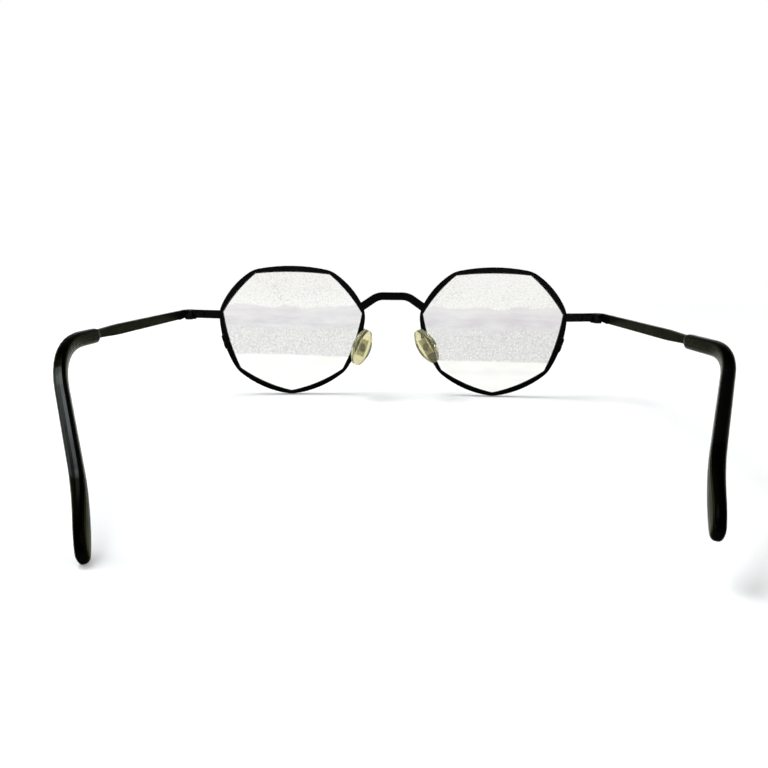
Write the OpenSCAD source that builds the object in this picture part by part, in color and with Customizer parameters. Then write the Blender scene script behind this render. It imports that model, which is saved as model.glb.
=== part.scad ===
// Metal eyeglasses with seven-sided lenses, bent flat bridge, adjustable nose pads
// and folding temples with moulded tips, standing open on a flat surface.
// Millimetres. X runs across the face, Y points out through the lenses, Z is up.
// The surface is Z = 0, under the rims and the temple tips.

/* [Lenses and rims] */
// Width of the visible lens opening between its side corners
eye_w = 44.8; // [42:0.2:50]
// Height of the opening from the bottom corner to the two top corners
eye_h = 37.7; // [35:0.1:42]
// How far each side of the opening bows out past its corners
side_bow = 0.75; // [0.5:0.05:0.9]
// Distance between the two openings at the nose
eye_gap = 19.7; // [18:0.1:24]
// Radius of the lens surface, front to back
base_r = 135; // [100:1:180]
// Width of the rim at its corners, seen from the front
rim_w = 1.1; // [1:0.05:1.4]
// How far each side of the rim's outer edge bows out past its corners
rim_bow = 1.4; // [1.2:0.05:1.5]
// Depth of the rim from front to back
rim_depth = 2; // [1.8:0.1:2.6]
// Radius that rounds the rim outside each corner
rim_round = 9; // [6:0.5:10]
// Thickness of the lens
lens_t = 1.2; // [1:0.05:1.4]
// How far the lens edge sits in the rim groove
lens_bite = 0.45; // [0.3:0.05:0.6]
// Clearance around the lens edge
lens_gap = 0.05; // [0.03:0.01:0.1]
// Forward lean of the front as it stands
lean = 10.7; // [6:0.1:14]
// Backward sweep of each lens from the middle
wrap = 3.6; // [0:0.1:6]

/* [Rim locks] */
// Length of the split block that closes each rim
lock_len = 4.4; // [4:0.2:6]
// How far the block stands out past the rim's edge
lock_out = 0.15; // [0:0.05:0.5]
// Depth of the block behind the rim
lock_depth = 1.2; // [1.1:0.1:1.6]
// Width of the slit that the lock screw closes
lock_slit = 0.1; // [0.1:0.05:0.4]
// Place of the block, as an angle about the centre of that rim side
lock_angle = -18; // [-24:1:-12]
// Diameter of the lock screw
lock_screw_d = 0.5; // [0.4:0.05:0.55]

/* [Bridge] */
// Length of the straight middle of the bridge
bridge_flat = 6; // [5:0.2:8]
// Height of the bar
bridge_h = 2.45; // [2:0.05:3]
// Thickness of the bar from front to back
bridge_t = 1.5; // [1.2:0.1:2]
// Slope of the two arms
bridge_slope = 36; // [28:1:42]
// Height of the bar's middle above the foot of the rims, up the front
bridge_up = 32.1; // [30:0.1:34]
// Radius of the forward arch of the bridge
bridge_arch = 24; // [18:1:40]

/* [End pieces and hinges] */
// Distance of the joint between end piece and temple from the middle
joint_x = 63.9; // [62:0.1:67]
// Height of the end piece above the surface
end_up = 25.7; // [24:0.1:27]
// Height of the end piece bar
end_h = 2.5; // [2:0.1:3]
// Thickness of the end piece at the joint
end_t = 1.3; // [1.1:0.1:1.6]
// How much lower the end piece starts at the rim
end_dip = 0.35; // [0:0.05:0.8]
// Gap between end piece and temple
joint_gap = 0.12; // [0.08:0.02:0.3]
// Diameter of the hinge barrel
barrel_d = 2.5; // [2.3:0.1:2.7]
// Height of the hinge barrel, all three knuckles
barrel_h = 2.7; // [2.6:0.1:3.2]
// Gap between neighbouring knuckles
knuckle_gap = 0.1; // [0.05:0.01:0.2]
// Diameter of the hinge screw
screw_d = 1.2; // [1:0.1:1.4]
// Radial clearance of the screw in the temple knuckle
screw_fit = 0.04; // [0.02:0.01:0.08]
// Diameter of the hinge screw head
screw_head_d = 1.9; // [1.6:0.1:2.2]

/* [Temples] */
// Thickness of the temple bar
bar_t = 1.1; // [0.9:0.1:1.4]
// Height of the temple bar along most of its length
bar_h1 = 2.55; // [2.4:0.05:3]
// Height of the temple bar where it enters the tip
bar_h2 = 1.9; // [1.6:0.1:2.2]
// Length over which the bar narrows toward the tip
neck_len = 15.5; // [8:0.5:30]
// Outer radius of the corner behind the hinge
corner_r = 3; // [2.8:0.1:3.4]
// Distance from that corner to the mouth of the tip
bar_len = 72.4; // [60:0.1:78]
// Outward splay of each temple
splay = 1.2; // [0:0.1:4]
// Rise of each temple toward the ear
rise = 3; // [0:0.1:5]

/* [Tips] */
// Distance from the corner behind the hinge to the left ear bend
bend_at_left = 94.7; // [92:0.1:100]
// Distance from the corner behind the hinge to the right ear bend
bend_at_right = 95.7; // [92:0.1:100]
// Radius of the left ear bend
bend_r_left = 36; // [24:0.5:40]
// Radius of the right ear bend
bend_r_right = 28.5; // [24:0.5:40]
// Downward bend behind the left ear
drop_left = 37; // [30:0.1:45]
// Downward bend behind the right ear
drop_right = 27.3; // [25:0.1:45]
// Inward bend behind the left ear
tuck_left = 24.1; // [12:0.1:28]
// Inward bend behind the right ear
tuck_right = 22.2; // [12:0.1:28]
// How much further down the last part of the tip bends
end_drop = 9.4; // [2:0.1:12]
// How much the last part of the tip turns back outward
end_out = 8.4; // [2:0.1:10]
// Length of the last part of the tip
end_len = 13.7; // [12:0.1:20]
// Height of the tip at its mouth
tip_h = 3.4; // [3:0.1:3.8]
// Thickness of the tip
tip_t = 2.7; // [2.3:0.1:3]
// How far the tip's middle lies below the wire inside it
sink = 0.27; // [0:0.01:0.4]
// Width of the paddle at the end
paddle_w = 5.8; // [4:0.1:8]
// Length over which the paddle rounds off
paddle_end = 6; // [3:0.1:8]
// Diameter of the core wire in the tip
core_d = 1; // [0.8:0.05:1]
// Clearance of the core in the tip
core_gap = 0.06; // [0.04:0.01:0.1]

/* [Nose pads] */
// Length of a nose pad
pad_len = 11.6; // [11:0.2:14]
// Width of a nose pad
pad_w = 5.8; // [5.4:0.2:8]
// Thickness of a nose pad at its middle
pad_t = 2.3; // [2.2:0.1:3]
// Sideways place of the left pad's middle
pad_x_left = 9.5; // [9.2:0.1:11]
// Sideways place of the right pad's middle
pad_x_right = 10.9; // [9.2:0.1:11]
// Distance of the pad middle behind the foot of the front
pad_back = 6; // [5:0.2:8]
// Height of the left pad's middle above the surface
pad_up_left = 16.2; // [15.5:0.1:17.5]
// Height of the right pad's middle above the surface
pad_up_right = 16.8; // [15.5:0.1:17.5]
// Turn of the pad faces toward the nose
pad_turn = 34; // [28:1:42]
// Outward lean of the lower end of the left pad
pad_tilt_left = 19; // [10:1:34]
// Outward lean of the lower end of the right pad
pad_tilt_right = 31; // [10:1:34]
// Diameter of the pad arm wire
arm_d = 1; // [0.8:0.05:1.1]
// Diameter of the pad screw
pad_screw_d = 0.8; // [0.6:0.05:0.9]

/* [Hidden] */
$fn = 48;

// A hair's breadth left where one piece is brazed or pressed to another.
seat = 0.02;

function unit(v) = v / norm(v);
function along(a, b, t) = a + (b - a) * t;
function frame_matrix(x, y, z, o) = [
    [x[0], y[0], z[0], o[0]],
    [x[1], y[1], z[1], o[1]],
    [x[2], y[2], z[2], o[2]],
    [0, 0, 0, 1]];

// Corners of the lens opening, counter-clockwise from the outer side corner,
// as parts of the half width and half height. Seen on the wearer's right lens.
corners = [for (c = [[1, 0.335], [0.544, 1], [-0.526, 1], [-1, 0.335], [-0.728, -0.62],
                     [0.009, -1], [0.745, -0.62]])
           [c[0] * eye_w / 2, c[1] * eye_h / 2]];
count = len(corners);
// The two sides at the bottom bow the most.
bows = [for (i = [0:count - 1]) i == 4 || i == 5 ? side_bow * 1.2 : side_bow];

function corner(i) = corners[(i + count) % count];
function chord(i) = corner(i + 1) - corner(i);
function bow(i) = bows[(i + count) % count];
function outward(i) = unit([chord(i)[1], -chord(i)[0]]);
// Radius and centre of the arc over one side, for a given bow.
function side_r(i, b) = (pow(norm(chord(i)), 2) / 4 + b * b) / (2 * b);
function side_c(i, b) = (corner(i) + corner(i + 1)) / 2 - outward(i) * (side_r(i, b) - b);
// The same for the outer edge of the rim.
function out_r(i, grow) = side_r(i, rim_bow) + grow;
function out_c(i) = side_c(i, rim_bow);

// The point where two circles meet, on the side of the point near.
function meet(ca, ra, cb, rb, near) =
    let (d = norm(cb - ca), e = (cb - ca) / d, n = [-e[1], e[0]],
         a = (ra * ra - rb * rb + d * d) / (2 * d), h = sqrt(ra * ra - a * a),
         p = ca + e * a + n * h, q = ca + e * a - n * h)
    norm(p - near) < norm(q - near) ? p : q;
function round_c(i, grow, r) =
    meet(out_c(i - 1), out_r(i - 1, grow) - r, out_c(i), out_r(i, grow) - r, corner(i));

// The seven-sided opening, each side an arc, grown outward by the same amount all round.
module opening(grow) {
    intersection_for (i = [0:count - 1])
        translate(side_c(i, bow(i))) circle(r = side_r(i, bow(i)) + grow, $fn = 240);
}

// The rim's outer outline, bowed more and with rounded corners, as points along its arcs.
function turn(from, to) = (to - from + 720) % 360;
function bearing(v) = atan2(v[1], v[0]);
function arc(c, r, from, to, n) =
    [for (k = [0:n - 1]) let (a = from + turn(from, to) * k / n) c + r * [cos(a), sin(a)]];
function rounded(grow, r) = [for (i = [0:count - 1])
    let (f = round_c(i, grow, r), g = round_c(i + 1, grow, r),
         a0 = bearing(f - out_c(i - 1)), a1 = bearing(f - out_c(i)), a2 = bearing(g - out_c(i)))
    for (p = concat(arc(f, r, a0, a1, 6), arc(out_c(i), out_r(i, grow), a1, a2, 8))) p];

// The lens surface lies a little in front of the rim's own plane at its middle.
sag = 1.7;
function surface_z(rho, grow) = base_r - sag - sqrt(pow(base_r + grow, 2) - rho * rho);
rim_bottom = -(round_c(5, rim_w, rim_round)[1] - rim_round);
rim_top = out_c(1)[1] + out_r(1, rim_w);

eye_cx = eye_gap / 2 + eye_w / 2;
eye_cy = -eye_cx * sin(wrap);
foot_front = eye_cy - surface_z(rim_bottom, rim_depth / 2);
top_front = eye_cy - surface_z(rim_top, rim_depth / 2);
lift = foot_front * sin(lean);

// Temple path for the wearer's right, from the corner behind the hinge.
corner_m = corner_r - bar_t / 2;
strip_y = 0;
corner_c = [joint_x + 0.6, strip_y - corner_m];
strip_z = end_up - (bar_h1 - end_h) / 2 + 0.05;
level = [sin(splay), -cos(splay), 0];
inward = [-cos(splay), -sin(splay), 0];
up = [0, 0, 1];
function heading(down, into) =
    (level * cos(rise - down) + up * sin(rise - down)) * cos(into) + inward * sin(into);
function crosswise(down) = up * cos(rise - down) - level * sin(rise - down);
function drop(side) = side < 0 ? drop_left : drop_right;
function tuck(side) = side < 0 ? tuck_left : tuck_right;
d1 = heading(0, 0);
w1 = crosswise(0);
function d2(side) = heading(drop(side), tuck(side));
function d3(side) = heading(drop(side) + end_drop, tuck(side) - end_out);
function w2(side) = crosswise(drop(side));
function w3(side) = crosswise(drop(side) + end_drop);
function bend_a(side) = acos(d1 * d2(side));
function e2(side) = unit(d2(side) - d1 * (d1 * d2(side)));
bend2_r = 60;
function bend2_a(side) = acos(d2(side) * d3(side));
function e3(side) = unit(d3(side) - d2(side) * (d2(side) * d3(side)));

start = [corner_c[0] + corner_m * cos(splay), corner_c[1] + corner_m * sin(splay), strip_z];
mouth = start + d1 * bar_len;
function bend_r(side) = side < 0 ? bend_r_left : bend_r_right;
function bend_at(side) = side < 0 ? bend_at_left : bend_at_right;
function s1(side) = bend_at(side) - bar_len - bend_r(side) * tan(bend_a(side) / 2);
function s2(side) = s1(side) + bend_r(side) * bend_a(side) * PI / 180;
// Length of the tip without the straight part between its two bends.
function short_len(side) = s2(side) + end_len
    + bend2_r * (bend2_a(side) * PI / 180 - tan(bend2_a(side) / 2));

// A point on the wire's line in the tip with its direction and the way the width lies.
function bent(p, d, e, r, a) = p + (d * sin(a) + e * (1 - cos(a))) * r;
function station(s, length, side) =
    let (sa = s1(side), sb = s2(side), da = d2(side), db = d3(side), r = bend_r(side),
         straight = length - short_len(side),
         sc = sb + straight, sd = sc + bend2_r * bend2_a(side) * PI / 180,
         a = (s - sa) / r * 180 / PI, b = (s - sc) / bend2_r * 180 / PI,
         p2 = bent(mouth + d1 * sa, d1, e2(side), r, bend_a(side)),
         p3 = p2 + da * straight)
    s <= sa ? [mouth + d1 * s, d1, w1]
    : s <= sb ? [bent(mouth + d1 * sa, d1, e2(side), r, a),
                 d1 * cos(a) + e2(side) * sin(a), along(w1, w2(side), (s - sa) / (sb - sa))]
    : s <= sc ? [p2 + da * (s - sb), da, w2(side)]
    : s <= sd ? [bent(p3, da, e3(side), bend2_r, b),
                 da * cos(b) + e3(side) * sin(b), along(w2(side), w3(side), (s - sc) / (sd - sc))]
    : [bent(p3, da, e3(side), bend2_r, bend2_a(side)) + db * (s - sd), db, w3(side)];

function smooth(t) = let (c = max(0, min(1, t))) c * c * (3 - 2 * c);
function dome(u, r) = u >= r ? 1 : sqrt(max(0, 1 - pow(1 - u / r, 2)));
// Half width and half thickness of the tip, u from its end.
function half_w(s, u) = (tip_h / 2 + (paddle_w - tip_h) / 2 * smooth((18.4 - u) / 13.4))
    * dome(u + 0.03, paddle_end) * (0.86 + 0.14 * smooth(s / 0.9));
function half_t(s, u) = (tip_t / 2 - 0.25 * smooth((16 - u) / 12))
    * dome(u + 0.05, 1.6) * (0.86 + 0.14 * smooth(s / 0.9));
ring = 20;
power = 2.8;
function puff(v) = sign(v) * pow(abs(v), 2 / power);
function section(s, length, side) =
    let (u = length - s, q = station(s, length, side),
         w = unit(q[2] - q[1] * (q[2] * q[1])), n = cross(q[1], w),
         hw = half_w(s, u), ht = half_t(s, u))
    [for (k = [0:ring - 1])
        q[0] - w * sink + n * ht * puff(cos(k * 360 / ring)) + w * hw * puff(sin(k * 360 / ring))];
function marks(length, side) =
    let (sa = s1(side), sb = s2(side), far = length - 22)
    concat([0, 0.3, 0.6, 0.9], [for (i = [1:3]) 0.9 + (sa - 0.9) * i / 4],
           [for (i = [0:10]) sa + (sb - sa) * i / 10],
           [for (i = [1:4]) sb + (far - sb) * i / 4],
           [for (i = [1:11]) far + (22 - paddle_end) * i / 11],
           [for (i = [1:9]) length - paddle_end * pow(1 - i / 9, 1.6)]);
function least(length, side, axis) =
    min([for (s = marks(length, side)) for (p = section(s, length, side)) p[axis]]);
// Length of both tips, first guessed, then set so that the lower of the two
// just reaches the surface.
guess = 70;
tip_len = guess + min([for (side = [-1, 1]) least(guess, side, 2) / -d2(side)[2]]);
rearmost = min([for (side = [-1, 1]) least(tip_len, side, 1)]);
frontmost = (rim_bottom + rim_top) * sin(lean) + top_front * cos(lean);
// The origin lies halfway between the front and the tips.
shift = -(rearmost + frontmost) / 2;

hinge_x = joint_x + 0.9;
hinge_y = corner_c[1] + 0.15;
barrel_z = strip_z - 0.2;
knuckle = (barrel_h - 2 * knuckle_gap) * 0.29;
middle = barrel_h - 2 * knuckle_gap - 2 * knuckle;

module placed() {
    translate([0, shift, 0]) children();
}

module both(side) {
    placed() mirror([side < 0 ? 1 : 0, 0, 0]) children();
}

module on_front() {
    translate([0, 0, lift]) rotate([-lean, 0, 0]) children();
}

module at_eye() {
    on_front() translate([eye_cx, eye_cy, rim_bottom]) rotate([0, 0, -wrap])
        rotate([90, 0, 0]) children();
}

// A ball about the centre of the lens surfaces.
module ball(grow) {
    translate([0, 0, base_r - sag]) rotate([0, -90, 0]) sphere(r = base_r + grow, $fn = 240);
}

// The space between two of the balls.
module shell(thick) {
    difference() {
        ball(thick / 2);
        ball(-thick / 2);
    }
}

module opening_plate(grow, thick) {
    intersection() {
        translate([0, 0, -5]) linear_extrude(10) opening(grow);
        shell(thick);
    }
}

module rim_core(extra) {
    translate([0, 0, -7]) linear_extrude(14) polygon(rounded(rim_w + extra, rim_round));
}

module at_lock() {
    at_eye() translate([out_c(6)[0], out_c(6)[1], surface_z(22, 0)]) rotate([0, 0, lock_angle])
        translate([out_r(6, rim_w), 0, 0]) children();
}

module rim(side) {
    color("#17181a") both(side) difference() {
        at_eye() difference() {
            intersection() {
                rim_core(0);
                shell(rim_depth);
            }
            translate([0, 0, -5]) linear_extrude(10) opening(0);
            opening_plate(lens_bite + lens_gap, lens_t + 2 * lens_gap);
        }
        at_lock() cube([8, lock_slit, 8], center = true);
    }
}

module lens(side) {
    color([0.93, 0.95, 0.93, 0.35]) both(side) at_eye()
        opening_plate(lens_bite, lens_t);
}

// The bridge is a flat bar bent down at both ends and arched forward.
function bridge_edge(r, arm) =
    let (c = [bridge_flat / 2, -bridge_h / 2 - bridge_bend])
    concat([for (k = [0:9]) let (a = bridge_slope * k / 9) c + r * [sin(a), cos(a)]],
           [c + r * [sin(bridge_slope), cos(bridge_slope)]
            + arm * [cos(bridge_slope), -sin(bridge_slope)]]);
bridge_bend = 4.5;
bridge_arm = 9;
function flipped(list) = [for (k = [len(list) - 1:-1:0]) [-list[k][0], list[k][1]]];
function backward(list) = [for (k = [len(list) - 1:-1:0]) list[k]];
module bridge_face() {
    top = bridge_edge(bridge_bend + bridge_h, bridge_arm);
    foot = bridge_edge(bridge_bend, bridge_arm);
    polygon(concat(top, backward(foot), backward(flipped(foot)), flipped(top)));
}

module bridge() {
    color("#17181a") placed() difference() {
        on_front() intersection() {
            translate([0, 8, bridge_up]) rotate([90, 0, 0]) linear_extrude(16) bridge_face();
            translate([0, 1.6 - bridge_arch, bridge_up - 12]) difference() {
                cylinder(r = bridge_arch + bridge_t / 2, h = 24, $fn = 180);
                translate([0, 0, -1]) cylinder(r = bridge_arch - bridge_t / 2, h = 26, $fn = 180);
            }
        }
        for (m = [0, 1]) mirror([m, 0, 0]) at_eye() rim_core(seat);
    }
}

// The block sits on the back of the rim, across the slit, with its screw behind the rim.
lock_x = -0.45;
module lock_block(side, from, to) {
    inner = -1.25;
    color("#17181a") both(side) difference() {
        intersection() {
            at_lock() linear_extrude(rim_depth / 2 + lock_depth)
                polygon([[inner, from], [lock_out - (from < 0 ? 0.15 : 0), from],
                         [lock_out, from + (from < 0 ? 0.9 : 0.2)], [lock_out, to - 0.2],
                         [lock_out - 0.15, to], [inner, to]]);
            at_eye() ball(-rim_depth / 2 - seat);
        }
        at_lock() translate([lock_x, 0, rim_depth / 2 + lock_depth / 2]) rotate([90, 0, 0])
            cylinder(d = lock_screw_d + 0.04, h = lock_len + 4, center = true, $fn = 32);
    }
}

module lock_screw(side) {
    color("#2a2b2d") both(side) at_lock()
        translate([lock_x, 0, rim_depth / 2 + lock_depth / 2]) rotate([-90, 0, 0]) {
        translate([0, 0, -lock_len / 2]) cylinder(d = lock_screw_d, h = lock_len + 0.1, $fn = 32);
        difference() {
            translate([0, 0, lock_len / 2 + seat])
                cylinder(d = lock_screw_d + 0.3, h = 0.3, $fn = 32);
            translate([-1, -0.08, lock_len / 2 + 0.2]) cube([2, 0.16, 1]);
        }
    }
}

// The end piece runs from the rim to the joint, a little lower at the rim.
module end_piece(side) {
    root = eye_cx + eye_w / 2 - 2;
    color("#17181a") both(side) difference() {
        intersection() {
            translate([0, 0, end_up - end_h]) linear_extrude(2 * end_h)
                polygon([[root, 0.1], [joint_x - 5, -end_t / 2], [joint_x, -end_t / 2],
                         [joint_x, end_t / 2], [joint_x - 5, end_t / 2 + 0.4], [root, 2.2]]);
            translate([0, 5, 0]) rotate([90, 0, 0]) linear_extrude(10)
                polygon([[root, end_up - end_dip - end_h / 2], [joint_x, end_up - end_h / 2],
                         [joint_x, end_up + end_h / 2], [root, end_up - end_dip + end_h / 2]]);
        }
        at_eye() rim_core(seat);
    }
}

// Two outer knuckles on a leaf brazed behind the end piece.
module front_hinge(side) {
    color("#1d1e20") both(side) translate([hinge_x, hinge_y, barrel_z]) difference() {
        union() {
            for (m = [-1, 1]) translate([0, 0, m * (barrel_h - knuckle) / 2]) {
                cylinder(d = barrel_d, h = knuckle, center = true);
                translate([-1.9, 0.3, -knuckle / 2])
                    cube([1.9, -end_t / 2 - seat - hinge_y - 0.3, knuckle]);
            }
            translate([-4.4, -end_t / 2 - seat - hinge_y - 0.7, end_up - end_h / 2 - barrel_z])
                cube([3.1, 0.7, end_h - end_dip]);
        }
        cylinder(d = screw_d + 0.02, h = barrel_h + 2, center = true);
    }
}

// The middle knuckle, with a web to a leaf on the inside of the temple bar.
module temple_hinge(side) {
    color("#1d1e20") both(side) difference() {
        union() {
            translate([hinge_x, hinge_y, barrel_z]) {
                cylinder(d = barrel_d, h = middle, center = true);
                translate([0, -1.3, -middle / 2]) cube([1.2, 0.9, middle]);
            }
            multmatrix(frame_matrix(level, up, inward, [start[0], start[1], barrel_z])) {
                translate([0.05, -middle / 2, bar_t / 2 + seat]) cube([6.5, middle, 0.5]);
                translate([2.4, -0.8, bar_t / 2 + seat]) cube([4.1, 2, 0.5]);
            }
        }
        translate([hinge_x, hinge_y, barrel_z])
            cylinder(d = screw_d + 2 * screw_fit, h = barrel_h + 2, center = true);
    }
}

module hinge_screw(side) {
    color("#8c8e90") both(side) translate([hinge_x, hinge_y, barrel_z]) {
        translate([0, 0, -barrel_h / 2]) cylinder(d = screw_d, h = barrel_h + 0.1);
        difference() {
            translate([0, 0, barrel_h / 2 + seat]) cylinder(d = screw_head_d, h = 0.32);
            translate([-2, -0.13, barrel_h / 2 + 0.18]) cube([4, 0.26, 1]);
        }
    }
}

// A round wire along a list of points, as one closed skin.
module wire(points, d) {
    sides = 12;
    last = len(points) - 1;
    rings = [for (i = [0:last])
        let (t = unit(points[min(i + 1, last)] - points[max(i - 1, 0)]),
             x = unit(cross([0.2, 0.4, 1], t)), y = cross(t, x))
        [for (k = [0:sides - 1])
            points[i] + (x * cos(k * 360 / sides) + y * sin(k * 360 / sides)) * d / 2]];
    polyhedron([for (r = rings) for (p = r) p],
               concat([for (i = [0:last - 1]) for (k = [0:sides - 1])
                          [i * sides + k, (i + 1) * sides + k,
                           (i + 1) * sides + (k + 1) % sides, i * sides + (k + 1) % sides]],
                      [[for (k = [0:sides - 1]) k],
                       [for (k = [0:sides - 1]) last * sides + sides - 1 - k]]),
               convexity = 4);
}

// The wire in the tip runs from inside the bar around the ear bend.
function core_len(side) = s2(side) + tip_len - short_len(side) - 3;
module core(side) {
    wire(concat([mouth - d1 * 1.5, mouth + d1 * s1(side) / 2],
                [for (i = [0:10]) station(along(s1(side), s2(side), i / 10), tip_len, side)[0]],
                [station(core_len(side), tip_len, side)[0]]), core_d);
}

// The bar seen from above: a strip that turns back behind the hinge.
function aside(v) = [corner_c[0] + v[0] * cos(splay) - v[1] * sin(splay),
                     corner_c[1] + v[0] * sin(splay) + v[1] * cos(splay)];
function swing(r) = [for (k = [0:12]) let (a = 90 - (90 - splay) * k / 12)
    [corner_c[0] + r * cos(a), corner_c[1] + r * sin(a)]];
module bar_plan() {
    polygon(concat([[joint_x + joint_gap, bar_t / 2]], swing(corner_r),
                   [aside([corner_r, -bar_len]), aside([corner_r - bar_t, -bar_len])],
                   backward(swing(corner_r - bar_t)), [[joint_x + joint_gap, -bar_t / 2]]));
}

// Seen from the side it rises, and narrows to the mouth of the tip.
module bar() {
    reach = (bar_len - 0.05) * cos(rise);
    neck = [for (k = [0:9]) [reach - neck_len * (1 - k / 10),
                             (bar_h1 + (bar_h2 - bar_h1) * smooth(k / 10)) / 2]];
    below = [for (n = neck) [n[0], n[0] * tan(rise) - n[1]]];
    above = [for (n = neck) [n[0], n[0] * tan(rise) + n[1]]];
    intersection() {
        translate([0, 0, strip_z - 4]) linear_extrude(12) bar_plan();
        translate([corner_c[0], corner_c[1], strip_z]) rotate([0, 0, splay])
            translate([10, 0, 0]) rotate([90, 0, -90]) linear_extrude(20)
                polygon(concat([[-5, -bar_h1 / 2], [0.3, -bar_h1 / 2]], below,
                               [[reach, reach * tan(rise) - bar_h2 / 2],
                                [reach - bar_h2 * tan(rise), reach * tan(rise) + bar_h2 / 2]],
                               backward(above), [[0.3, bar_h1 / 2], [-5, bar_h1 / 2]]));
    }
}

module temple(side) {
    color("#17181a") both(side) {
        bar();
        core(side);
    }
}

// The tip is one smooth moulding around a bore for the core.
function bore_ring(s, side) =
    let (q = station(s, tip_len, side), w = unit(q[2] - q[1] * (q[2] * q[1])), n = cross(q[1], w),
         r = (core_d / 2 + core_gap) / cos(180 / ring))
    [for (k = [0:ring - 1]) q[0] + n * r * cos(k * 360 / ring) + w * r * sin(k * 360 / ring)];
function band(from, to) = [for (k = [0:ring - 1])
    [from * ring + k, from * ring + (k + 1) % ring, to * ring + (k + 1) % ring, to * ring + k]];
module tip(side) {
    stops = marks(tip_len, side);
    skin = [for (s = stops) section(s, tip_len, side)];
    depths = concat([0], [for (s = stops) if (s > 0.5 && s < core_len(side)) s],
                    [core_len(side) + 0.1]);
    bore = [for (s = depths) bore_ring(s, side)];
    last = len(skin) - 1;
    deep = last + len(bore);
    points = [for (r = concat(skin, bore)) for (p = r) p];
    // Outer wall, bore wall running back, and the flat mouth between them.
    walls = concat([for (i = [0:last - 1]) each band(i, i + 1)],
                   [for (i = [last + 1:deep - 1]) each band(i + 1, i)],
                   band(last + 1, 0));
    ends = [[for (k = [0:ring - 1]) last * ring + k],
            [for (k = [ring - 1:-1:0]) deep * ring + k]];
    color("#131416") both(side) polyhedron(points, concat(walls, ends), convexity = 6);
}

// The pad's own frame: X across it, Y out of its back, Z along it.
function pad_x(side) = side < 0 ? pad_x_left : pad_x_right;
function pad_up(side) = side < 0 ? pad_up_left : pad_up_right;
function pad_tilt(side) = side < 0 ? pad_tilt_left : pad_tilt_right;
module at_pad(side) {
    translate([pad_x(side), -pad_back, pad_up(side)]) rotate([-lean, 0, 0])
        rotate([0, -pad_tilt(side), 0]) rotate([0, 0, -pad_turn]) children();
}

pivot = 2.15;
post_x = 1.4;
post_r = 0.9;

module insert_shape(grow) {
    translate([-1.3 - grow, -0.3 - grow, -2.6 - grow])
        cube([2.6 + 2 * grow, 0.6 + 2 * grow, 5.2 + 2 * grow]);
    translate([-post_x / 2 - grow, 0, -post_r - grow])
        cube([post_x + 2 * grow, pivot, 2 * post_r + 2 * grow]);
}

module pad_insert(side) {
    color("#b9a97c") both(side) at_pad(side) difference() {
        union() {
            insert_shape(0);
            translate([0, pivot, 0]) rotate([0, 90, 0])
                cylinder(r = post_r, h = post_x, center = true);
        }
        translate([0, pivot, 0]) rotate([0, 90, 0])
            cylinder(d = pad_screw_d + 0.08, h = 4, center = true);
    }
}

module nose_pad(side) {
    end_r = 1.9;
    wide_r = 12;
    flat_r = 24;
    color([0.86, 0.80, 0.62, 0.85]) both(side) at_pad(side) difference() {
        intersection() {
            rotate([90, 0, 0]) translate([0, 0, -3]) linear_extrude(6) pad_outline();
            translate([0, flat_r - pad_t / 2, 0]) rotate([0, 0, -90])
                sphere(r = flat_r, $fn = 180);
            translate([0, -flat_r - 4 + pad_t / 2, 0]) rotate([0, 0, 90])
                sphere(r = flat_r + 4, $fn = 180);
        }
        insert_shape(0.03);
    }
}

// An oval: two wide arcs for the sides, two smaller ones for the ends.
module pad_outline() {
    side_arc = pad_len * 0.82;
    intersection() {
        translate([side_arc - pad_w / 2, 0]) circle(r = side_arc, $fn = 180);
        translate([pad_w / 2 - side_arc, 0]) circle(r = side_arc, $fn = 180);
        translate([0, 0]) square([pad_w + 1, pad_len], center = true);
        translate([0, pad_w * 0.42 - pad_len / 2]) union() {
            circle(r = pad_w * 0.42, $fn = 96);
            translate([-pad_w, 0]) square([2 * pad_w, pad_len]);
        }
        translate([0, pad_len / 2 - pad_w * 0.42]) union() {
            circle(r = pad_w * 0.42, $fn = 96);
            translate([-pad_w, -pad_len]) square([2 * pad_w, pad_len]);
        }
    }
}

module pad_box(side) {
    wall = 0.5;
    inner = post_x / 2 + 0.1;
    color("#1d1e20") both(side) at_pad(side) difference() {
        translate([-inner - wall, 1.6, -1.15]) cube([2 * (inner + wall), 2.15, 2.3]);
        translate([-inner, 1, -2]) cube([2 * inner, pivot + post_r + 0.15 - 1, 4]);
        translate([0, pivot, 0]) rotate([0, 90, 0])
            cylinder(d = pad_screw_d + 0.02, h = 6, center = true);
    }
}

module pad_screw(side) {
    reach = post_x / 2 + 0.1 + 0.5;
    color("#8c8e90") both(side) at_pad(side) translate([0, pivot, 0]) rotate([0, 90, 0]) {
        translate([0, 0, -reach]) cylinder(d = pad_screw_d, h = 2 * reach + 0.1, $fn = 32);
        difference() {
            translate([0, 0, reach + seat]) cylinder(d = 1.3, h = 0.35, $fn = 32);
            translate([-1, -0.1, reach + 0.2]) cube([2, 0.2, 1]);
        }
    }
}

function curve(p, t) =
    p[0] * pow(1 - t, 3) + p[1] * 3 * t * pow(1 - t, 2) + p[2] * 3 * t * t * (1 - t)
    + p[3] * pow(t, 3);
function turn_z(v, a) = [v[0] * cos(a) - v[1] * sin(a), v[0] * sin(a) + v[1] * cos(a), v[2]];
function turn_y(v, a) = [v[0] * cos(a) + v[2] * sin(a), v[1], -v[0] * sin(a) + v[2] * cos(a)];
function turn_x(v, a) = [v[0], v[1] * cos(a) - v[2] * sin(a), v[1] * sin(a) + v[2] * cos(a)];
// A point of the pad's own frame, and one of the lens's, where they really lie.
function from_pad(v, side) = [pad_x(side), -pad_back, pad_up(side)]
    + turn_x(turn_y(turn_z(v, -pad_turn), -pad_tilt(side)), -lean);
function from_eye(v) = [0, 0, lift]
    + turn_x([eye_cx, eye_cy, rim_bottom] + turn_z(turn_x(v, 90), -wrap), -lean);

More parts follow.
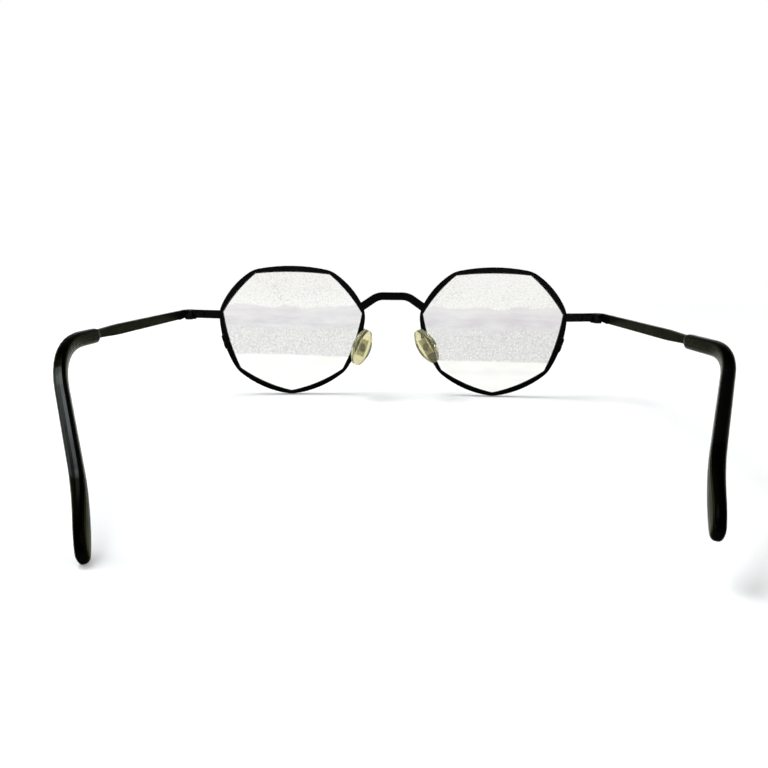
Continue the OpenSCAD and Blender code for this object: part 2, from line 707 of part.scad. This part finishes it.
// The arm is a wire that leaves the nose side of the rim, turns back and
// comes down on the box of its pad.
module pad_arm(side) {
    way = [cos(foot_at), sin(foot_at), 0];
    spot = [out_c(3)[0], out_c(3)[1], 0] + way * out_r(3, rim_w + seat);
    foot = spot + [0, 0, surface_z(norm(spot), 0)];
    a = from_eye(foot + way * 0.3);
    b = from_pad([0, 3, 1.15 + seat + 0.3], side);
    out = from_eye(foot + way * arm_out);
    over = from_pad([0, 3, 1.15 + seat + arm_over], side);
    steps = 14;
    color("#1d1e20") both(side)
        wire(concat([from_eye(foot)], [for (i = [0:steps]) curve([a, out, over, b], i / steps)],
                    [from_pad([0, 3, 1.15 + seat], side)]), arm_d);
}
// Place of the arm's foot on the nose side of the rim, as an angle about the
// centre of that side, and how far the wire swings out from it and over the box.
foot_at = 191;
arm_out = 2.6;
arm_over = 3.4;

rim(-1);  // rim_left
rim(1);  // rim_right
lens(-1);  // lens_left
lens(1);  // lens_right
bridge();
lock_block(-1, lock_slit / 2, lock_len / 2);  // lock_upper_left
lock_block(1, lock_slit / 2, lock_len / 2);  // lock_upper_right
lock_block(-1, -lock_len / 2, -lock_slit / 2);  // lock_lower_left
lock_block(1, -lock_len / 2, -lock_slit / 2);  // lock_lower_right
lock_screw(-1);  // lock_screw_left
lock_screw(1);  // lock_screw_right
end_piece(-1);  // end_piece_left
end_piece(1);  // end_piece_right
front_hinge(-1);  // front_hinge_left
front_hinge(1);  // front_hinge_right
temple_hinge(-1);  // temple_hinge_left
temple_hinge(1);  // temple_hinge_right
hinge_screw(-1);  // hinge_screw_left
hinge_screw(1);  // hinge_screw_right
temple(-1);  // temple_left
temple(1);  // temple_right
tip(-1);  // tip_left
tip(1);  // tip_right
pad_arm(-1);  // pad_arm_left
pad_arm(1);  // pad_arm_right
pad_box(-1);  // pad_box_left
pad_box(1);  // pad_box_right
pad_screw(-1);  // pad_screw_left
pad_screw(1);  // pad_screw_right
pad_insert(-1);  // pad_insert_left
pad_insert(1);  // pad_insert_right
nose_pad(-1);  // nose_pad_left
nose_pad(1);  // nose_pad_right
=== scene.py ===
import math

import bmesh
import bpy
from mathutils import Matrix, Vector


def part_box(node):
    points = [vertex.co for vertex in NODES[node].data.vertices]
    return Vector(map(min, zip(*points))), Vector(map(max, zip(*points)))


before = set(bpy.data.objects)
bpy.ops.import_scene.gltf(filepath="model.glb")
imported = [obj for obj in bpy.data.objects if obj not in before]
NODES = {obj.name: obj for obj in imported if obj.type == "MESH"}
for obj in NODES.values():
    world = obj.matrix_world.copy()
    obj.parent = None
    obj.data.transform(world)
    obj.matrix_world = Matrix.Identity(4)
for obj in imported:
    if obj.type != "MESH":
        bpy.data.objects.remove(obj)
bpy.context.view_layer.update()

SIDES = ("left", "right")


class Graph:
    """Short calls for the nodes of one node tree."""

    def __init__(self, tree):
        self.tree = tree

    def add(self, kind, **settings):
        node = self.tree.nodes.new(kind)
        for key, value in settings.items():
            setattr(node, key, value)
        return node

    def link(self, value, socket):
        """Joins a node's output to a socket, or writes a plain value into it."""
        if isinstance(value, bpy.types.NodeSocket):
            self.tree.links.new(value, socket)
        elif socket.type == "RGBA" and len(value) == 3:
            socket.default_value = value + (1.0,)
        else:
            socket.default_value = value

    def math(self, operation, a, b):
        node = self.add("ShaderNodeMath", operation=operation)
        self.link(a, node.inputs[0])
        self.link(b, node.inputs[1])
        return node.outputs[0]

    def axes(self, vector):
        node = self.add("ShaderNodeSeparateXYZ")
        self.link(vector, node.inputs[0])
        return node.outputs["X"], node.outputs["Y"], node.outputs["Z"]

    def length(self, vector):
        node = self.add("ShaderNodeVectorMath", operation="LENGTH")
        self.link(vector, node.inputs[0])
        return node.outputs["Value"]

    def rays(self, *kinds):
        """1 for a ray of one of the kinds, such as Camera or Glossy, and 0 for others."""
        path = self.add("ShaderNodeLightPath")
        found = path.outputs["Is " + kinds[0] + " Ray"]
        for kind in kinds[1:]:
            found = self.math("MAXIMUM", found, path.outputs["Is " + kind + " Ray"])
        return found

    def blend(self, factor, a, b):
        """Shader a where factor is 0, shader b where it is 1."""
        node = self.add("ShaderNodeMixShader")
        self.link(factor, node.inputs[0])
        self.link(a, node.inputs[1])
        self.link(b, node.inputs[2])
        return node.outputs[0]


class Look(Graph):
    """A material with one Principled shader. Its patterns follow the piece's own
    coordinates, in metres."""

    def __init__(self, name, **sockets):
        self.mat = bpy.data.materials.new(name)
        self.mat.use_nodes = True
        super().__init__(self.mat.node_tree)
        self.shader = self.tree.nodes["Principled BSDF"]
        self.out = self.tree.nodes["Material Output"]
        self.place = self.add("ShaderNodeTexCoord").outputs["Object"]
        for key, value in sockets.items():
            self.set(key, value)

    def set(self, key, value):
        self.link(value, self.shader.inputs[key.replace("_", " ")])

    def stretched(self, scale):
        node = self.add("ShaderNodeMapping")
        self.link(self.place, node.inputs["Vector"])
        self.link(scale, node.inputs["Scale"])
        return node.outputs["Vector"]

    def noise(self, scale, detail=3.0, rough=0.55, where=None):
        node = self.add("ShaderNodeTexNoise")
        self.link(where or self.place, node.inputs["Vector"])
        self.link(scale, node.inputs["Scale"])
        self.link(detail, node.inputs["Detail"])
        self.link(rough, node.inputs["Roughness"])
        return node.outputs["Fac"]

    def span(self, value, source, target=(0.0, 1.0)):
        """Spreads value from the source range over the target range, held at its ends."""
        node = self.add("ShaderNodeMapRange", clamp=True)
        self.link(value, node.inputs["Value"])
        for key, number in zip(("From Min", "From Max", "To Min", "To Max"), source + target):
            self.link(number, node.inputs[key])
        return node.outputs["Result"]

    def mix(self, factor, a, b):
        """Colour a where factor is 0, colour b where it is 1."""
        node = self.add("ShaderNodeMix", data_type="RGBA")
        self.link(factor, node.inputs[0])
        self.link(a, node.inputs[6])
        self.link(b, node.inputs[7])
        return node.outputs[2]

    def weighed(self, a, weight_a, b, weight_b):
        return self.math("ADD", self.math("MULTIPLY", a, weight_a),
                         self.math("MULTIPLY", b, weight_b))

    def swing(self, value, reach):
        """A noise value turned into a shift to both sides, reach long in all."""
        return self.math("MULTIPLY", self.math("SUBTRACT", value, 0.5), reach)

    def bump(self, height, strength, distance, normal=None):
        node = self.add("ShaderNodeBump")
        self.link(strength, node.inputs["Strength"])
        self.link(distance, node.inputs["Distance"])
        self.link(height, node.inputs["Height"])
        if normal is not None:
            self.link(normal, node.inputs["Normal"])
        return node.outputs["Normal"]

    def soft_edge(self, radius):
        node = self.add("ShaderNodeBevel", samples=6)
        self.link(radius, node.inputs["Radius"])
        return node.outputs["Normal"]

    def edge(self, rounded):
        """1 on an outer or inner edge, 0 on flat ground."""
        dot = self.add("ShaderNodeVectorMath", operation="DOT_PRODUCT")
        self.link(rounded, dot.inputs[0])
        self.link(self.add("ShaderNodeNewGeometry").outputs["Normal"], dot.inputs[1])
        return self.span(dot.outputs["Value"], (0.80, 0.985), (1.0, 0.0))


def scaled(tone, share):
    return tuple(value * share for value in tone)


def lacquer(name, tone, rough, edge_tone, wear, radius=0.00013):
    """Thin satin black coat on metal: a faint orange peel, uneven sheen, fine scuffs
    and a few rubbed edges where the metal starts to show. edge_tone is what it throws
    back at a low angle."""
    rubbed = (0.055, 0.053, 0.049)
    look = Look(name, Metallic=1.0, Specular_Tint=edge_tone)
    broad = look.noise(130.0, detail=4.0)
    peel = look.noise(5200.0, detail=2.0)
    grit = look.noise(2600.0, detail=5.0, rough=0.65)
    scuff = look.noise(900.0, detail=4.0, rough=0.6, where=look.stretched((1.0, 0.16, 1.0)))
    ground = look.mix(look.span(broad, (0.35, 0.68)), scaled(tone, 0.75), scaled(tone, 1.35))
    rounded = look.soft_edge(radius)
    rub = look.math("MULTIPLY", look.edge(rounded), look.span(grit, (0.62, 0.76), (0.0, wear)))
    look.set("Base_Color", look.mix(rub, ground, rubbed))
    look.set("Roughness", look.span(look.weighed(scuff, 1.0, broad, 0.6), (0.55, 1.05),
                                    (rough - 0.06, rough + 0.12)))
    height = look.weighed(peel, 0.55, grit, 0.45)
    look.set("Normal", look.bump(height, strength=0.12, distance=0.00002, normal=rounded))
    return look.mat


def bare_metal(name, tone, rough):
    """Turned metal: fine tool lines, dull patches and soft edges."""
    look = Look(name, Metallic=1.0)
    lines = look.noise(3000.0, detail=2.0, rough=0.5, where=look.stretched((1.0, 1.0, 7.0)))
    patch = look.noise(1400.0, detail=4.0, rough=0.6)
    look.set("Base_Color", look.mix(look.span(patch, (0.4, 0.65)), tone, scaled(tone, 0.65)))
    look.set("Roughness", look.span(patch, (0.3, 0.7), (rough, rough + 0.22)))
    look.set("Normal", look.bump(lines, strength=0.25, distance=0.00001,
                                 normal=look.soft_edge(0.00006)))
    return look.mat


def acetate(name, side):
    """Polished black acetate: deep black with a faint cloud in it, handling haze and
    hair-fine scratches along the tip. It shines most along the straight part behind
    the ear; on the bend and on the paddle end its reflectance is painted down to almost
    nothing, painted shade for the dark reflections those parts show."""
    shine, cloudy_shine = (0.0112, 0.0120, 0.0122), (0.0145, 0.0152, 0.0148)
    # dull is painted shade: a near-zero reflectance for the bend and the paddle end.
    dull = (0.0016, 0.0017, 0.0015)
    look = Look(name, Metallic=1.0, Specular_Tint=(0.52, 0.525, 0.485))
    _, along, high = look.axes(look.place)
    low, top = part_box("tip_" + side)
    foot, front = low.z, top.y
    paddle = look.span(high, (foot + 0.0118, foot + 0.0126), (1.0, 0.0))
    bend = look.math("MULTIPLY", look.span(along, (front - 0.0318, front - 0.0283)),
                     look.span(along, (front - 0.0218, front - 0.0193), (1.0, 0.0)))
    cloud = look.noise(120.0, detail=4.0, rough=0.6)
    haze = look.noise(260.0, detail=4.0, rough=0.6)
    hair = look.noise(2600.0, detail=3.0, rough=0.7, where=look.stretched((1.0, 0.08, 0.5)))
    polished = look.mix(look.span(cloud, (0.35, 0.7)), shine, cloudy_shine)
    # Painted shade: the bend and the paddle end take the dull colour and throw back almost nothing.
    look.set("Base_Color", look.mix(look.math("MAXIMUM", paddle, bend), polished, dull))
    look.set("Roughness", look.span(look.weighed(haze, 0.7, hair, 0.3), (0.38, 0.66), (0.20, 0.28)))
    look.set("Normal", look.bump(hair, strength=0.03, distance=0.00002))
    return look.mat


def pad_plastic(name):
    """Yellowed clear nose pad: a little cloudy and yellower in patches, with a slightly
    greasy skin and a soft rounded edge."""
    straw, yellowed, spotted = (0.75, 0.72, 0.45), (0.68, 0.64, 0.35), (0.62, 0.56, 0.30)
    look = Look(name, Metallic=0.0, IOR=1.41, Transmission_Weight=0.9, Subsurface_Weight=0.4,
                Subsurface_Scale=0.0015, Subsurface_Radius=(1.0, 0.92, 0.55))
    cloud = look.noise(380.0, detail=4.0, rough=0.6)
    spots = look.noise(1500.0, detail=3.0, rough=0.6)
    tint = look.mix(look.span(cloud, (0.35, 0.68)), straw, yellowed)
    look.set("Base_Color", look.mix(look.span(spots, (0.62, 0.78), (0.0, 0.25)), tint, spotted))
    look.set("Roughness", look.span(cloud, (0.3, 0.7), (0.03, 0.10)))
    look.set("Normal", look.bump(spots, strength=0.06, distance=0.00003,
                                 normal=look.soft_edge(0.0003)))
    return look.mat


def pad_core(name, side):
    """Dull plate inside the clear pad: pale and partly clear where the plastic lights
    it, darker along its edge, with a dark boxed middle crossed by fine upright lines."""
    pale, pale_blot, rim = (0.98, 0.96, 0.84), (0.92, 0.89, 0.72), (0.40, 0.36, 0.20)
    dark, dark_line = (0.012, 0.010, 0.007), (0.13, 0.12, 0.075)
    look = Look(name, Metallic=0.0, IOR=1.25)
    low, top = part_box("nose_pad_" + side)
    middle = look.add("ShaderNodeVectorMath", operation="SUBTRACT")
    look.link(look.place, middle.inputs[0])
    look.link((low + top) / 2, middle.inputs[1])
    squeezed = look.add("ShaderNodeMapping")
    look.link(middle.outputs[0], squeezed.inputs["Vector"])
    look.link((1.0, 1.0, 0.72), squeezed.inputs["Scale"])
    blot = look.noise(1300.0, detail=3.0, rough=0.6)
    lines = look.noise(2600.0, detail=2.0, rough=0.5, where=look.stretched((1.0, 1.0, 0.16)))
    reach = look.math("ADD", look.length(squeezed.outputs[0]), look.swing(blot, 0.0010))
    core = look.span(reach, (0.00085, 0.00125), (1.0, 0.0))
    rounded = look.soft_edge(0.00025)
    around = look.mix(look.span(blot, (0.4, 0.65)), pale, pale_blot)
    rimmed = look.mix(look.math("MULTIPLY", look.edge(rounded), 0.6), around, rim)
    ruled = look.mix(look.span(lines, (0.42, 0.58)), dark, dark_line)
    look.set("Base_Color", look.mix(core, rimmed, ruled))
    look.set("Transmission_Weight", look.math("MULTIPLY", look.math("SUBTRACT", 1.0, core), 0.8))
    look.set("Roughness", look.span(blot, (0.3, 0.7), (0.30, 0.50)))
    look.set("Normal", look.bump(lines, strength=0.20, distance=0.00002, normal=rounded))
    return look.mat


def clear_lens(name):
    """Clear lens whose colour carries a faint, uneven painted reflection, laid out in bands
    by height: fine flecks in the upper part, a streaky lilac-grey band, a mottled band
    below it and a foot in the plain tint with only faint painted streaks. The foot's upper
    border slopes down from the left edge of the left lens to the right one. Light for
    shadows passes straight through."""
    low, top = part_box("lens_left")

    def level(share):
        return low.z + share * (top.z - low.z)

    # Where the bands of the painted reflection lie: the slope of the foot's border across the lens,
    # then heights on the left lens.
    slope_from, slope_to = -0.0507, 0.0139
    foot_left, foot_right = level(0.3150), level(0.2636)
    mottle_top, band_foot, band_deepest = level(0.4871), level(0.5590), level(0.5616)
    band_top, speck_foot = level(0.6952), level(0.7106)
    # The lens's own near-clear tint, then the pale and dark colours of each band of painted
    # reflection.
    plain_tint, foot_reflection = (0.935, 0.93, 0.89), (0.875, 0.87, 0.83)
    mottle_pale, mottle_dark = (0.91, 0.90, 0.875), (0.54, 0.53, 0.525)
    band_pale, band_dark = (0.83, 0.815, 0.81), (0.655, 0.63, 0.64)
    reflection_pale, reflection_fleck_dark = (0.94, 0.935, 0.905), (0.59, 0.58, 0.57)

    look = Look(name, Metallic=0.0, IOR=1.5, Transmission_Weight=1.0)
    across, _, high = look.axes(look.place)
    waver = look.noise(95.0, detail=3.0, rough=0.6, where=look.stretched((1.0, 0.0, 0.25)))
    wavy = look.math("ADD", high, look.swing(waver, 0.0045))
    streak_noise = look.noise(150.0, detail=5.0, rough=0.62, where=look.stretched((0.45, 0.0, 2.4)))
    cloud = look.noise(60.0, detail=3.0, rough=0.6)
    fleck_noise = look.noise(1700.0, detail=4.0, rough=0.75)
    grain = look.noise(1750.0, detail=4.0, rough=0.75)

    border = look.span(across, (slope_from, slope_to), (foot_left, foot_right))
    over_foot = look.span(look.math("SUBTRACT", high, border), (-0.00012, 0.00012))
    over_mottle = look.span(wavy, (mottle_top, band_foot))
    over_band = look.span(wavy, (band_top, speck_foot))

    # Painted reflection, band by band, mixed from the colours above into the lens colour.
    foot = look.mix(look.span(streak_noise, (0.42, 0.66)), plain_tint, foot_reflection)
    mottle = look.mix(look.span(grain, (0.36, 0.64)), mottle_pale, mottle_dark)
    deep = look.span(wavy, (band_deepest, band_top), (0.85, 0.35))
    streaks = look.math("MULTIPLY", look.span(streak_noise, (0.36, 0.64), (0.35, 1.35)), deep)
    band = look.mix(streaks, band_pale, band_dark)
    reflection_flecks = look.math("MULTIPLY", look.span(fleck_noise, (0.49, 0.63)),
                       look.span(cloud, (0.40, 0.62), (0.45, 1.0)))
    upper = look.mix(reflection_flecks, reflection_pale, reflection_fleck_dark)
    over = look.mix(over_mottle, mottle, look.mix(over_band, band, upper))
    look.set("Base_Color", look.mix(over_foot, foot, over))
    look.set("Roughness", look.span(streak_noise, (0.3, 0.8), (0.0, 0.02)))

    clear = look.add("ShaderNodeBsdfTransparent")
    look.link((0.93, 0.93, 0.92), clear.inputs["Color"])
    both = look.blend(look.rays("Shadow"), look.shader.outputs[0], clear.outputs[0])
    look.link(both, look.out.inputs["Surface"])
    return look.mat


FRAME = lacquer("black_lacquer", (0.0055, 0.0055, 0.0055), rough=0.34,
                edge_tone=(0.30, 0.30, 0.295), wear=0.09)
TEMPLE = lacquer("black_lacquer_temple", (0.015, 0.0154, 0.0134), rough=0.36,
                 edge_tone=(0.46, 0.465, 0.43), wear=0.30)
HINGE = lacquer("dark_hinge", (0.007, 0.007, 0.0072), rough=0.40,
                edge_tone=(0.32, 0.32, 0.32), wear=0.40, radius=0.00008)
WIRE = lacquer("dark_wire", (0.020, 0.020, 0.020), rough=0.36,
               edge_tone=(0.5, 0.5, 0.5), wear=0.30, radius=0.00008)
SCREW = bare_metal("steel_screw", (0.46, 0.46, 0.47), rough=0.28)
DARK_SCREW = bare_metal("dark_screw", (0.060, 0.060, 0.062), rough=0.34)
PAD = pad_plastic("yellowed_pad")
LENS = clear_lens("clear_lens")

LOOKS = {"rim": FRAME, "bridge": FRAME, "lock_upper": FRAME, "lock_lower": FRAME,
         "end_piece": FRAME, "temple": TEMPLE, "front_hinge": HINGE, "temple_hinge": HINGE,
         "lock_screw": DARK_SCREW, "hinge_screw": DARK_SCREW, "pad_screw": SCREW,
         "pad_arm": WIRE, "pad_box": HINGE, "nose_pad": PAD, "lens": LENS}
for side in SIDES:
    LOOKS["tip_" + side] = acetate("black_acetate_" + side, side)
    LOOKS["pad_insert_" + side] = pad_core("pad_plate_" + side, side)

for name, obj in NODES.items():
    kind = name.rpartition("_")[0] if name.endswith(SIDES) else name
    for slot in obj.material_slots:
        slot.link = "OBJECT"
        slot.material = LOOKS.get(name) or LOOKS[kind]


def floor_sheet():
    """Plain white sheet under the object. Its own glow lifts it to white, and far from
    the object it is nothing but white."""
    half_side = 6.0
    glow_level = 0.22
    fade_from, fade_to = 0.16, 0.45
    mesh = bpy.data.meshes.new("floor")
    grid = bmesh.new()
    bmesh.ops.create_grid(grid, x_segments=8, y_segments=8, size=half_side)
    grid.to_mesh(mesh)
    grid.free()
    obj = bpy.data.objects.new("floor", mesh)
    bpy.context.scene.collection.objects.link(obj)

    look = Look("floor_paper", Base_Color=(0.88, 0.88, 0.87), Roughness=0.85,
                Specular_IOR_Level=0.1)
    look.set("Normal", look.bump(look.noise(900.0), strength=0.05, distance=0.0001))
    seen = look.rays("Camera", "Glossy", "Transmission")
    glow = look.add("ShaderNodeEmission")
    look.link(look.math("MULTIPLY", seen, glow_level), glow.inputs["Strength"])
    lifted = look.add("ShaderNodeAddShader")
    look.link(look.shader.outputs[0], lifted.inputs[0])
    look.link(glow.outputs[0], lifted.inputs[1])
    white = look.add("ShaderNodeEmission")
    far = look.span(look.length(look.place), (fade_from, fade_to))
    surface = look.blend(look.math("MULTIPLY", seen, far), lifted.outputs[0], white.outputs[0])
    look.link(surface, look.out.inputs["Surface"])
    mesh.materials.append(look.mat)


def room():
    """World: white where the camera or a lens looks through to it. Gloss finds it
    bright near the horizon, dark above and a little lighter overhead, as in a room."""
    white = (1.0, 1.0, 1.0)
    gloss_level = 2.0
    bands = ((0.0, 1.0), (0.14, 1.0), (0.28, 0.10), (0.60, 0.05), (0.90, 0.12), (1.0, 0.20))
    world = bpy.data.worlds.new("room")
    bpy.context.scene.world = world
    world.use_nodes = True
    world.node_tree.nodes.clear()
    sky = Graph(world.node_tree)

    def background(colour, strength=1.0):
        node = sky.add("ShaderNodeBackground")
        sky.link(colour, node.inputs["Color"])
        sky.link(strength, node.inputs["Strength"])
        return node.outputs[0]

    _, _, high = sky.axes(sky.add("ShaderNodeTexCoord").outputs["Generated"])
    ramp = sky.add("ShaderNodeValToRGB")
    sky.link(high, ramp.inputs["Fac"])
    steps = ramp.color_ramp.elements
    for place, _ in bands[2:]:
        steps.new(place)
    for step, (place, level) in zip(sorted(steps, key=lambda each: each.position), bands):
        grey = level / gloss_level
        step.position = place
        step.color = (grey, grey, grey * 1.02, 1.0)

    fill = background((0.38, 0.38, 0.39))
    gloss = background(ramp.outputs["Color"], gloss_level)
    lit = sky.blend(sky.rays("Glossy"), fill, gloss)
    surface = sky.blend(sky.rays("Camera", "Transmission"), lit, background(white))
    sky.link(surface, sky.add("ShaderNodeOutputWorld").inputs["Surface"])


def softbox(name, place, size, power, tint):
    """A lamp that lights the middle of the object from place and isn't seen itself."""
    target = Vector((0.0, 0.0, 0.02))
    data = bpy.data.lights.new(name, "AREA")
    data.shape = "RECTANGLE"
    data.size, data.size_y = size
    data.energy = power
    data.color = tint
    obj = bpy.data.objects.new(name, data)
    obj.location = place
    obj.rotation_euler = (target - Vector(place)).to_track_quat("-Z", "Y").to_euler()
    obj.visible_camera = False
    bpy.context.scene.collection.objects.link(obj)


def camera():
    """Camera from the fit of the model's outline to the photograph. The focal length
    and the middle of the picture are in pixels of a picture that is 768 wide."""
    picture = 768.0
    focal, middle_x, middle_y = 828.78, 4.836, -1.960
    yaw, pitch, roll = (math.radians(angle) for angle in (-1.3358, 11.3764, 0.3822))
    eye = (0.002089, -0.196302, 0.057080)
    data = bpy.data.cameras.new("camera")
    data.sensor_width = 36.0
    data.sensor_fit = "HORIZONTAL"
    data.lens = data.sensor_width * focal / picture
    data.shift_x = middle_x / picture
    data.shift_y = middle_y / picture
    data.clip_start = 0.01
    data.clip_end = 50.0
    ahead = Vector((math.sin(yaw) * math.cos(pitch), math.cos(yaw) * math.cos(pitch),
                    -math.sin(pitch)))
    across = Vector((math.cos(yaw), -math.sin(yaw), 0.0))
    above = across.cross(ahead)
    right = across * math.cos(roll) + above * math.sin(roll)
    up = above * math.cos(roll) - across * math.sin(roll)
    obj = bpy.data.objects.new("camera", data)
    turn = Matrix((right, up, -ahead)).transposed().to_4x4()
    obj.matrix_world = Matrix.Translation(eye) @ turn
    bpy.context.scene.collection.objects.link(obj)
    bpy.context.scene.camera = obj


floor_sheet()
room()
COOL, NEUTRAL = (0.94, 0.98, 1.0), (1.0, 0.995, 0.98)
softbox("window_left", place=(-0.366, 0.211, 0.795), size=(0.36, 0.36), power=4.6, tint=COOL)
softbox("window_right", place=(0.72, 0.02, 0.36), size=(0.34, 0.30), power=0.9,
        tint=NEUTRAL)
softbox("low_left", place=(-0.78, 0.16, 0.40), size=(0.40, 0.62), power=2.8, tint=COOL)
camera()
bpy.context.scene.view_settings.view_transform = "Standard"
